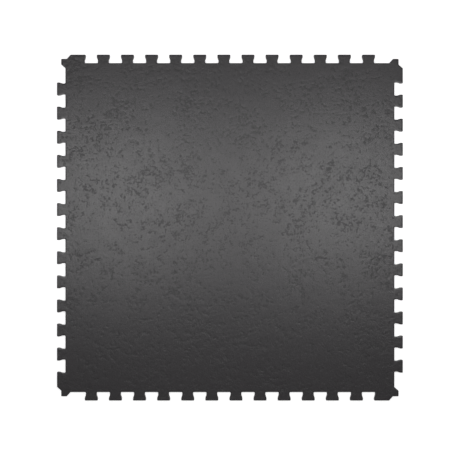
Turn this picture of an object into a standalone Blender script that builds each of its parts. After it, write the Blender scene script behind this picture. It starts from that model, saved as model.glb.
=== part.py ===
"""Interlocking PVC floor tile: one moulded square plate with dovetail teeth along its four edges.

Units are metres, with +Z up. The tile lies flat. The origin is the middle of its underside.

All four edges follow one line, turned a quarter turn from edge to edge. That line is its own
opposite when it is read backwards, so each edge locks into any edge of another tile.
"""

import math

import bmesh
import bpy
from mathutils import Matrix, Vector

MODULE = 0.500  # a tile covers this square of floor once it is laid
THICKNESS = 0.007
PITCHES = 14  # tooth spacings along one edge
TOOTH_DEPTH = 0.0125  # from the root line to the tips, half on each side of the module line
HEAD_WIDTH = 0.0194  # a tooth at its tip
SHOULDER_HEIGHT = 0.0041  # the sloping part of a tooth's flank, halfway up
CORNER_FLAT = 0.0085  # straight stretch on the module line beside each corner
CORNER_RAMP = 0.0055  # sloping stretch between that and the first tooth or the last socket
FIRST_TOOTH = 0.75  # centre of the first tooth, in pitches from the corner
TEETH = 13  # along one edge, the wide one at the corner included
FIT_GAP = 0.0002  # between two laid tiles, half of it cut from each

CORNER_RADIUS = 0.0012  # tips and roots
SHOULDER_RADIUS = 0.0040  # where a flank bends into its shoulder
ARC_STEP = math.radians(30)  # largest turn between two faces of a round stretch
SHARP_ANGLE = math.radians(35)  # edges that turn more than this are shaded sharp
ROUNDING_ERROR = 1e-6  # keeps a turn of exactly so many steps from taking one more

CHARCOAL = (0.050, 0.046, 0.049, 1.0)
ROUGHNESS = 0.55

PITCH = MODULE / PITCHES
NECK_WIDTH = PITCH - HEAD_WIDTH  # what is left between two heads, so that a tooth fills a socket
HALF_DEPTH = TOOTH_DEPTH / 2
HALF_SHOULDER = SHOULDER_HEIGHT / 2


def clear_scene():
    for obj in list(bpy.data.objects):
        bpy.data.objects.remove(obj)


def pvc_material():
    material = bpy.data.materials.new("charcoal_pvc")
    material.use_nodes = True
    shader = material.node_tree.nodes["Principled BSDF"]
    shader.inputs["Base Color"].default_value = CHARCOAL
    shader.inputs["Roughness"].default_value = ROUGHNESS
    shader.inputs["Metallic"].default_value = 0.0
    return material


def rising_flank(centre):
    """A tooth's first side, from root to tip, as (distance along the edge, height, corner radius)."""
    neck = centre - NECK_WIDTH / 2
    head = centre - HEAD_WIDTH / 2
    return [
        (neck, -HALF_DEPTH, CORNER_RADIUS),
        (neck, -HALF_SHOULDER, SHOULDER_RADIUS),
        (head, HALF_SHOULDER, SHOULDER_RADIUS),
        (head, HALF_DEPTH, CORNER_RADIUS),
    ]


def falling_flank(centre):
    """A tooth's second side, from tip to root."""
    return [(2 * centre - along, height, radius) for along, height, radius in rising_flank(centre)[::-1]]


def edge_line():
    """The corners of one edge's line, from the tile's corner to just before the next one."""
    ramp_end = CORNER_FLAT + CORNER_RAMP
    line = [
        (0.0, 0.0, CORNER_RADIUS),
        (CORNER_FLAT, 0.0, CORNER_RADIUS),
        (ramp_end, HALF_DEPTH, CORNER_RADIUS),
    ]
    for tooth in range(TEETH):
        centre = (FIRST_TOOTH + tooth) * PITCH
        if tooth > 0:
            line += rising_flank(centre)
        line += falling_flank(centre)
    line += [
        (MODULE - ramp_end, -HALF_DEPTH, CORNER_RADIUS),
        (MODULE - CORNER_FLAT, 0.0, CORNER_RADIUS),
    ]
    return line


def tile_corners():
    """The corners of the whole outline as (point, radius), clockwise seen from above."""
    corners = []
    for side in range(4):
        turn = Matrix.Rotation(-side * math.pi / 2, 2)
        for along, height, radius in edge_line():
            point = turn @ Vector((along - MODULE / 2, MODULE / 2 + height))
            corners.append((point, radius))
    return corners


def left_of(direction):
    return Vector((-direction.y, direction.x))


def arc(before, corner, after, radius):
    """Points of the arc that rounds a corner on the way from one neighbour to the other."""
    arriving = (corner - before).normalized()
    leaving = (after - corner).normalized()
    turn = math.atan2(arriving.cross(leaving), arriving.dot(leaving))
    start = corner - arriving * radius * math.tan(abs(turn) / 2)
    centre = start + left_of(arriving) * math.copysign(radius, turn)
    steps = math.ceil(abs(turn) / ARC_STEP - ROUNDING_ERROR)
    return [
        centre + Matrix.Rotation(turn * step / steps, 2) @ (start - centre)
        for step in range(steps + 1)
    ]


def rounded(corners):
    points = []
    for index, (corner, radius) in enumerate(corners):
        before = corners[index - 1][0]
        after = corners[(index + 1) % len(corners)][0]
        points += arc(before, corner, after, radius)
    return points


def inset(points, distance):
    """Each point of a clockwise outline, moved inwards by the same distance from both its sides."""
    moved = []
    for index, point in enumerate(points):
        arriving = (point - points[index - 1]).normalized()
        leaving = (points[(index + 1) % len(points)] - point).normalized()
        inward = -left_of(arriving + leaving).normalized()
        moved.append(point + inward * distance / inward.dot(-left_of(arriving)))
    return moved


def tile_mesh():
    """The outline as one flat face, extruded to the tile's thickness and closed."""
    outline = inset(rounded(tile_corners()), FIT_GAP / 2)
    shape = bmesh.new()
    bottom = shape.faces.new([shape.verts.new((point.x, point.y, 0.0)) for point in outline])
    raised = bmesh.ops.extrude_face_region(shape, geom=[bottom], use_keep_orig=True)
    top = [item for item in raised["geom"] if isinstance(item, bmesh.types.BMVert)]
    bmesh.ops.translate(shape, verts=top, vec=(0.0, 0.0, THICKNESS))
    bmesh.ops.triangulate(shape, faces=shape.faces, ngon_method="BEAUTY")
    bmesh.ops.recalc_face_normals(shape, faces=shape.faces)
    mesh = bpy.data.meshes.new("floor_tile")
    shape.to_mesh(mesh)
    shape.free()
    mesh.shade_smooth()
    mesh.set_sharp_from_angle(angle=SHARP_ANGLE)
    return mesh


def add_tile():
    mesh = tile_mesh()
    mesh.materials.append(pvc_material())
    tile = bpy.data.objects.new("floor_tile", mesh)
    bpy.context.scene.collection.objects.link(tile)


clear_scene()
add_tile()
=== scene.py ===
import math

import bmesh
import bpy
from mathutils import Euler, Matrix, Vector, noise
from mathutils.geometry import delaunay_2d_cdt
from mathutils.kdtree import KDTree


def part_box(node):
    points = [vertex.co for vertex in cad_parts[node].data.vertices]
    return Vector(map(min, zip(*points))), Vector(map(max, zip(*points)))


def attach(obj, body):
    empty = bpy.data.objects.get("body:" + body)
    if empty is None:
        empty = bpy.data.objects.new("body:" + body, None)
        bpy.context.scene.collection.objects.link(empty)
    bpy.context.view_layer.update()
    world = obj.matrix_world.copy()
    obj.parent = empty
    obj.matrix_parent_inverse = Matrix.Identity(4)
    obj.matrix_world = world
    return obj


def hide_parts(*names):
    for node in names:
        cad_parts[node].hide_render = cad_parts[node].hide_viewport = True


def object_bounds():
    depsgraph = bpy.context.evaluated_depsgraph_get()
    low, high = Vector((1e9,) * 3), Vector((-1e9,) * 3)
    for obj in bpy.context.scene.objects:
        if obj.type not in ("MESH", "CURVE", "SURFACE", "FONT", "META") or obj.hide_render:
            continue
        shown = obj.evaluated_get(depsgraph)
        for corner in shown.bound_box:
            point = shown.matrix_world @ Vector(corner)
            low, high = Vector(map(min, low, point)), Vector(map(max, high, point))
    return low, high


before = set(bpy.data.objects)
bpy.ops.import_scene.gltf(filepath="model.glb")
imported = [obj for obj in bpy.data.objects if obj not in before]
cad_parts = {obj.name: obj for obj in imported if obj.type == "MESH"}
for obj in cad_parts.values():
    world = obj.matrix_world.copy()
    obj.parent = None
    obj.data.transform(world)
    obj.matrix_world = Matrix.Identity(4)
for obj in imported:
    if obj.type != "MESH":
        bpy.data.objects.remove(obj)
cad_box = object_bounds()

# Sizes, in metres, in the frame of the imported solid: +Z up, origin at the middle of the underside
TILE_NODE = "floor_tile"
EDGE_RADIUS = 0.0006  # rounding of the wear face's rim
EDGE_STEPS = 3
FOOT_BREAK = 0.0003  # small bevel round the underside
RIM_STEP = 0.0022  # longest straight stretch between two points of the rim
GRID_STEP = 0.0013  # spacing of the points that carry the moulded marks; twice that between them
RIM_CLEARANCE = 0.0012  # between those points and the rim's own
WELD = 1e-6
UNDERSIDE_INDEX = 1  # of the underside's material in the mesh

# Relief of the wear face: crooked shallow marks in clusters, on a faintly wavy ground
LATTICE_TURN = Euler((0.6, 0.45, 0.3)).to_matrix()  # keeps the noise's grid out of line with the edges
SHIFT_Y = 2.3  # how far a noise is shifted along Y and Z, for every 1 along X
SHIFT_Z = 0.7
PATCHES = (0.036, 3.1)  # size in metres, and the shift that sets this noise apart from the others
PATCH_SHARE = 0.40
CLUSTERS = (0.011, 7.9)
CLUSTER_SHARE = 0.50
MARKS = (0.0040, 1.9)
MARK_EDGES = (0.22, 0.46)  # where the summed noises start a mark, and where it is full
MARK_DEPTH = 0.00007
MARK_KEPT = 0.12  # marks stronger than this get the fine spacing
BEND_SIZE = 0.0050  # of the noise that bends the marks
BEND = 0.0030  # farthest it moves them along each axis
BEND_SEED = 7
SWELL = (0.015, 8.2)
SWELL_DEPTH = 0.00005
FADE_WIDTH = 0.0024  # the relief runs out over this width at the rim

# Finish: colour and roughness run from the plain surface to the flecks; scales are per metre
CHARCOAL = (0.0512, 0.0474, 0.0506, 1.0)
# Darker colour of the flecks: partly a random tone, partly painted shade where the flecks crowd into the
# moulded pits
FLECK_TONE_AND_PIT_SHADE = (0.0332, 0.0309, 0.0328, 1.0)  # in the flecks
WEAR_ROUGHNESS = (0.28, 0.44)
UNDERSIDE_SHADED = (0.0400, 0.0370, 0.0395, 1.0)
UNDERSIDE_ROUGHNESS = (0.50, 0.65)
UNDERSIDE_SCALE = 160.0
IOR = 1.53
CLOUD_SCALE = 45.0
CLOUD_EDGES = (0.35, 0.65)  # stretch of the cloud noise that counts
CLOUD_SHADES = (-0.40, -0.25)  # below nothing, because the fleck noise is added, which is about a half
FLECK_SCALE = 470.0
FLECK_EDGES = (0.585, 0.705)  # where the fleck noise starts a fleck, and where it is full
# Pulls the darker flecks into the moulded marks, which paints shade into those shallow pits
FLECK_CROWDING = 0.20  # how far a full mark raises that noise
FLECK_SHADE = 0.75
GRAIN_SCALE = 650.0
CELL_SCALE = 420.0
FLECK_HEIGHT = -0.2  # heights in the bump, beside a grain of height 1
CELL_HEIGHT = 0.3
BUMP_STRENGTH = 0.70
BUMP_DISTANCE = 0.00020

# Studio: sizes and places in metres, powers in watts
WHITE = (1.0, 1.0, 1.0, 1.0)
FLOOR_REACH = 30.0  # from its middle to each side
FLOOR_DROP = 0.0001  # under the tile
FLOOR_ALBEDO = (0.90, 0.90, 0.90, 1.0)
FLOOR_ROUGHNESS = 0.9
FLOOR_GLOW = 0.74  # light of its own, which keeps it white all the way out
SKY_HORIZON = 0.95  # strength of the sky's light, there and overhead
SKY_OVERHEAD = 0.045
SKY_FALL = (8, 32)  # degrees above the horizon between which the sky goes dim
OVER_PLACE = (0.262, 0.078, 1.0)  # of the right softbox of a pair; the left one mirrors it
OVER_SIZE = (0.38, 0.31)
OVER_POWER = 2.15
BESIDE_PLACE = (1.6, 1.2, 1.0)
BESIDE_SIZE = (0.8, 0.8)
BESIDE_POWER = 1.6

# Photograph: seen straight from above
PHOTO_PIXELS = 455  # width and height
TILE_PIXELS = 346  # width of the tile in the picture
TILE_CENTRE_PIXELS = (229.9, 227.6)
CAMERA_HEIGHT = 1.90  # above the wear face
SENSOR = 36.0  # millimetres


def smooth_step(low, high, value):
    share = min(max((value - low) / (high - low), 0.0), 1.0)
    return share * share * (3.0 - 2.0 * share)


def rim_of(tile, height):
    """The tile's outline in order, anticlockwise, read from the border of the solid's top face."""
    shape = bmesh.new()
    shape.from_mesh(tile.data)
    bmesh.ops.remove_doubles(shape, verts=shape.verts, dist=WELD)
    for face in shape.faces:
        face.tag = all(abs(vert.co.z - height) < WELD for vert in face.verts)
    following = {}
    for face in shape.faces:
        for loop in face.loops:
            if face.tag and not all(other.tag for other in loop.edge.link_faces):
                following[loop.vert] = loop.link_loop_next.vert
    first = next(iter(following))
    points = [first.co.xy]
    vert = following[first]
    while vert is not first:
        points.append(vert.co.xy)
        vert = following[vert]
    shape.free()
    return points


def spread(points, longest):
    """The same outline with its long stretches divided."""
    closer = []
    for index, point in enumerate(points):
        stretch = points[(index + 1) % len(points)] - point
        parts = math.ceil(stretch.length / longest)
        closer += [point + stretch * part / parts for part in range(parts)]
    return closer


def inset(points, distance):
    """Each point of an anticlockwise outline, moved inwards by the same distance from both its sides."""
    moved = []
    for index, point in enumerate(points):
        arriving = (point - points[index - 1]).normalized()
        leaving = (points[(index + 1) % len(points)] - point).normalized()
        both = (arriving + leaving).normalized()
        inward = Vector((-both.y, both.x))
        moved.append(point + inward * distance / both.dot(arriving))
    return moved


def noise_at(spot, kind):
    size, shift = kind
    return noise.noise(spot / size + Vector((shift, SHIFT_Y * shift, SHIFT_Z * shift)))


def marks_at(place):
    """How deeply the moulded marks cut in at a place, from 0 to 1."""
    spot = LATTICE_TURN @ place
    patch = PATCH_SHARE * noise_at(spot, PATCHES)
    cluster = CLUSTER_SHARE * noise_at(spot, CLUSTERS)
    bent = spot + noise.noise_vector(spot / BEND_SIZE) * BEND
    return smooth_step(*MARK_EDGES, noise_at(bent, MARKS) + cluster + patch)


def relief_at(place, marks):
    """Depth of the wear face under the tile's top plane."""
    swell = 0.5 + 0.5 * noise_at(LATTICE_TURN @ place, SWELL)
    return MARK_DEPTH * marks + SWELL_DEPTH * swell


def face_points(rim, lowest, highest):
    """Points of an even grid, finer in the marks, and clear of the rim.

    Each is (place, strength of the marks there, share of the relief left so near the rim).
    """
    near = KDTree(len(rim))
    for index, point in enumerate(rim):
        near.insert(point.to_3d(), index)
    near.balance()
    row_step = GRID_STEP * math.sqrt(0.75)
    points = []
    for row in range(math.ceil((highest.y - lowest.y) / row_step)):
        # Each row shifts by half a step more, up to three halves, which two extra columns make up for.
        # Every second point of every second row then makes an even grid too.
        shift = GRID_STEP / 2 * (row % 4)
        for column in range(-2, math.ceil((highest.x - lowest.x) / GRID_STEP)):
            place = Vector((lowest.x + shift + column * GRID_STEP, lowest.y + row * row_step, 0.0))
            strength = marks_at(place)
            if strength < MARK_KEPT and (row % 2 or column % 2):
                continue
            gap = near.find(place)[2]
            if gap > RIM_CLEARANCE:
                points.append((place, strength, smooth_step(0.0, FADE_WIDTH, gap)))
    return points


def side_profile(bottom, top):
    """(distance inwards, height) of each ring of points, from the underside up to the wear face."""
    profile = [(FOOT_BREAK, bottom), (0.0, bottom + FOOT_BREAK)]
    for step in range(EDGE_STEPS + 1):
        angle = math.pi / 2 * step / EDGE_STEPS
        profile.append((EDGE_RADIUS * (1 - math.cos(angle)), top - EDGE_RADIUS * (1 - math.sin(angle))))
    return profile


def triangles_in(rim, inner):
    """Triangles that fill an outline, as indices into its own points and the inner ones after them."""
    border = [list(range(len(rim)))]
    filled = delaunay_2d_cdt(rim + inner, [], border, 1, WELD)
    sources = filled[3]
    return [[sources[index][0] for index in triangle] for triangle in filled[2]]


def add_wall(shape, rings):
    for lower, upper in zip(rings, rings[1:]):
        for index in range(len(lower)):
            ahead = (index + 1) % len(lower)
            shape.faces.new((lower[index], lower[ahead], upper[ahead], upper[index]))


def add_underside(shape, ring):
    for triangle in triangles_in([vert.co.xy for vert in ring], []):
        face = shape.faces.new([ring[index] for index in reversed(triangle)])
        face.material_index = UNDERSIDE_INDEX


def add_wear_face(shape, ring, grid, marks, face):
    """Fills the top ring, and keeps the marks' strength and the relief's share in two layers."""
    top = ring[0].co.z
    skin = {}
    for triangle in triangles_in([vert.co.xy for vert in ring], [point[0].xy for point in grid]):
        corners = []
        for index in triangle:
            if index < len(ring):
                corners.append(ring[index])
                continue
            if index not in skin:
                place, strength, share = grid[index - len(ring)]
                skin[index] = shape.verts.new((place.x, place.y, top - relief_at(place, strength) * share))
                skin[index][marks] = strength * share
                skin[index][face] = share
            corners.append(skin[index])
        shape.faces.new(corners)


def tile_mesh(tile):
    """One closed skin: plain underside, straight wall, rounded rim and the moulded wear face."""
    lowest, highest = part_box(TILE_NODE)
    outline = spread(rim_of(tile, highest.z), RIM_STEP)
    shape = bmesh.new()
    marks = shape.verts.layers.float.new("marks")
    face = shape.verts.layers.float.new("face")
    rings = [
        [shape.verts.new((point.x, point.y, height)) for point in inset(outline, distance)]
        for distance, height in side_profile(lowest.z, highest.z)
    ]
    add_wall(shape, rings)
    add_underside(shape, rings[0])
    grid = face_points([vert.co.xy for vert in rings[-1]], lowest, highest)
    add_wear_face(shape, rings[-1], grid, marks, face)
    mesh = bpy.data.meshes.new("moulded_tile")
    shape.to_mesh(mesh)
    shape.free()
    mesh.shade_smooth()
    return mesh


def add_node(tree, kind, place, feeds=None, **settings):
    """A shader node with its inputs set to numbers or fed by other nodes."""
    made = tree.nodes.new(kind)
    made.location = place
    for name, value in settings.items():
        if hasattr(made, name):
            setattr(made, name, value)
        else:
            made.inputs[name.replace("_", " ")].default_value = value
    for name, source in (feeds or {}).items():
        tree.links.new(source, made.inputs[name])
    return made


def add_weighted(tree, place, value, weight, base):
    """A node that gives value times weight plus base."""
    made = add_node(tree, "ShaderNodeMath", place, {0: value, 2: base}, operation="MULTIPLY_ADD")
    made.inputs[1].default_value = weight
    return made.outputs[0]


def new_material(name):
    material = bpy.data.materials.new(name)
    material.use_nodes = True
    return material, material.node_tree.nodes["Principled BSDF"]


def new_pvc(name):
    material, shader = new_material(name)
    shader.inputs["Metallic"].default_value = 0.0
    shader.inputs["IOR"].default_value = IOR
    return material, material.node_tree, shader


def colour_and_roughness(tree, shader, shade, colours, roughness):
    """Runs the colour and the roughness between two values each, as the shade goes from 0 to 1."""
    light, dark = colours
    tone = add_node(
        tree, "ShaderNodeMix", (-400, 300), {"Factor": shade},
        data_type="RGBA", A=light, B=dark,
    ).outputs["Result"]
    smooth, dull = roughness
    matt = add_node(
        tree, "ShaderNodeMapRange", (-400, 0), {"Value": shade},
        To_Min=smooth, To_Max=dull,
    ).outputs["Result"]
    tree.links.new(tone, shader.inputs["Base Color"])
    tree.links.new(matt, shader.inputs["Roughness"])


def wear_material():
    """Charcoal PVC with fine darker and duller flecks: a random tone, and where they crowd into the
    moulded marks, painted shade in those shallow pits.
    """
    material, tree, shader = new_pvc("charcoal_pvc_textured")
    place = {"Vector": add_node(tree, "ShaderNodeTexCoord", (-1700, 0)).outputs["Object"]}
    marks = add_node(tree, "ShaderNodeAttribute", (-1700, 300), attribute_name="marks").outputs["Fac"]
    face = add_node(tree, "ShaderNodeAttribute", (-1700, -300), attribute_name="face").outputs["Fac"]
    cloud = add_node(
        tree, "ShaderNodeTexNoise", (-1450, 600), place,
        Scale=CLOUD_SCALE, Detail=5.0, Roughness=0.62,
    ).outputs["Fac"]
    fleck = add_node(
        tree, "ShaderNodeTexNoise", (-1450, 300), place,
        Scale=FLECK_SCALE, Detail=3.0, Roughness=0.6,
    ).outputs["Fac"]
    grain = add_node(
        tree, "ShaderNodeTexNoise", (-1450, 0), place,
        Scale=GRAIN_SCALE, Detail=5.0, Roughness=0.7,
    ).outputs["Fac"]
    cells = add_node(
        tree, "ShaderNodeTexVoronoi", (-1450, -300), place,
        Scale=CELL_SCALE, Randomness=1.0,
    ).outputs["Distance"]

    mottle = add_node(
        tree, "ShaderNodeMapRange", (-1200, 600), {"Value": cloud},
        From_Min=CLOUD_EDGES[0], From_Max=CLOUD_EDGES[1], To_Min=CLOUD_SHADES[0], To_Max=CLOUD_SHADES[1],
    ).outputs["Result"]
    dust = add_weighted(tree, (-950, 600), fleck, 1.0, mottle)
    crowded = add_weighted(tree, (-1200, 300), marks, FLECK_CROWDING, fleck)
    # The face's share is fed in as the most that a fleck can be, so there are none on the rim and the wall
    flecks_and_pit_shade = add_node(
        tree, "ShaderNodeMapRange", (-950, 300), {"Value": crowded, "To Max": face},
        interpolation_type="SMOOTHSTEP", From_Min=FLECK_EDGES[0], From_Max=FLECK_EDGES[1],
    ).outputs["Result"]
    # The shade is random fleck and cloud tone, plus painted shade where the flecks crowd into the moulded
    # pits
    shade = add_weighted(tree, (-700, 600), flecks_and_pit_shade, FLECK_SHADE, dust)
    colour_and_roughness(tree, shader, shade, (CHARCOAL, FLECK_TONE_AND_PIT_SHADE), WEAR_ROUGHNESS)

    height = add_weighted(tree, (-950, 0), flecks_and_pit_shade, FLECK_HEIGHT, grain)
    height = add_weighted(tree, (-700, 0), cells, CELL_HEIGHT, height)
    bump = add_node(
        tree, "ShaderNodeBump", (-400, -300), {"Height": height},
        Strength=BUMP_STRENGTH, Distance=BUMP_DISTANCE,
    )
    tree.links.new(bump.outputs["Normal"], shader.inputs["Normal"])
    return material


def underside_material():
    """The plain moulded back: dull, with a faint mottle."""
    material, tree, shader = new_pvc("charcoal_pvc_plain")
    place = {"Vector": add_node(tree, "ShaderNodeTexCoord", (-900, 0)).outputs["Object"]}
    mottle = add_node(
        tree, "ShaderNodeTexNoise", (-650, 0), place,
        Scale=UNDERSIDE_SCALE, Detail=4.0,
    ).outputs["Fac"]
    colour_and_roughness(tree, shader, mottle, (CHARCOAL, UNDERSIDE_SHADED), UNDERSIDE_ROUGHNESS)
    return material


def add_tile():
    mesh = tile_mesh(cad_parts[TILE_NODE])
    mesh.materials.append(wear_material())
    mesh.materials.append(underside_material())
    tile = bpy.data.objects.new("moulded_tile", mesh)
    bpy.context.scene.collection.objects.link(tile)
    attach(tile, "root")
    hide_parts(TILE_NODE)


def add_floor(level):
    """A wide white light table just under the tile."""
    mesh = bpy.data.meshes.new("studio_floor")
    quarters = ((-1, -1), (1, -1), (1, 1), (-1, 1))
    mesh.from_pydata([(x * FLOOR_REACH, y * FLOOR_REACH, level) for x, y in quarters], [], [(0, 1, 2, 3)])
    material, shader = new_material("studio_white")
    shader.inputs["Base Color"].default_value = FLOOR_ALBEDO
    shader.inputs["Roughness"].default_value = FLOOR_ROUGHNESS
    shader.inputs["Specular IOR Level"].default_value = 0.0
    shader.inputs["Emission Color"].default_value = WHITE
    shader.inputs["Emission Strength"].default_value = FLOOR_GLOW
    mesh.materials.append(material)
    floor = bpy.data.objects.new("studio_floor", mesh)
    bpy.context.scene.collection.objects.link(floor)


def add_softbox(name, place, aim, size, power):
    """A rectangular soft light that faces a point."""
    light = bpy.data.lights.new(name, "AREA")
    light.shape = "RECTANGLE"
    light.size, light.size_y = size
    light.energy = power
    lamp = bpy.data.objects.new(name, light)
    lamp.location = place
    lamp.rotation_euler = (aim - place).to_track_quat("-Z", "Y").to_euler()
    bpy.context.scene.collection.objects.link(lamp)


def add_sky():
    """Surroundings that are white all round and dim overhead."""
    world = bpy.data.worlds.new("studio_world")
    world.use_nodes = True
    tree = world.node_tree
    direction = add_node(tree, "ShaderNodeTexCoord", (-800, 0)).outputs["Generated"]
    split = add_node(tree, "ShaderNodeSeparateXYZ", (-600, 0), {"Vector": direction})
    low, high = (math.sin(math.radians(degrees)) for degrees in SKY_FALL)
    strength = add_node(
        tree, "ShaderNodeMapRange", (-400, 0), {"Value": split.outputs["Z"]},
        interpolation_type="SMOOTHSTEP",
        From_Min=low, From_Max=high, To_Min=SKY_HORIZON, To_Max=SKY_OVERHEAD,
    ).outputs["Result"]
    background = tree.nodes["Background"]
    background.inputs["Color"].default_value = WHITE
    tree.links.new(strength, background.inputs["Strength"])
    bpy.context.scene.world = world


def add_studio():
    """A pale sky, two softboxes overhead that face straight down, and two that light from the sides."""
    add_sky()
    bpy.context.scene.view_settings.view_transform = "Standard"
    for name, side in (("left", -1), ("right", 1)):
        mirror = Vector((side, 1.0, 1.0))
        over = Vector(OVER_PLACE) * mirror
        add_softbox("softbox_over_" + name, over, over - Vector((0.0, 0.0, 1.0)), OVER_SIZE, OVER_POWER)
        beside = Vector(BESIDE_PLACE) * mirror
        add_softbox("softbox_beside_" + name, beside, Vector((0.0, 0.0, 0.0)), BESIDE_SIZE, BESIDE_POWER)


def add_camera(lowest, highest):
    """Straight above the tile, placed so that it has its stated width and centre in the picture."""
    metres_per_pixel = (highest.x - lowest.x) / TILE_PIXELS
    half_view = metres_per_pixel * PHOTO_PIXELS / 2
    data = bpy.data.cameras.new("photo_camera")
    data.sensor_width = SENSOR
    data.lens = SENSOR / 2 * CAMERA_HEIGHT / half_view
    camera = bpy.data.objects.new("photo_camera", data)
    across = (PHOTO_PIXELS / 2 - TILE_CENTRE_PIXELS[0]) * metres_per_pixel
    along = (TILE_CENTRE_PIXELS[1] - PHOTO_PIXELS / 2) * metres_per_pixel
    camera.location = (across, along, highest.z + CAMERA_HEIGHT)
    bpy.context.scene.collection.objects.link(camera)
    bpy.context.scene.camera = camera


lowest, highest = cad_box
noise.seed_set(BEND_SEED)
add_tile()
add_floor(lowest.z - FLOOR_DROP)
add_studio()
add_camera(lowest, highest)
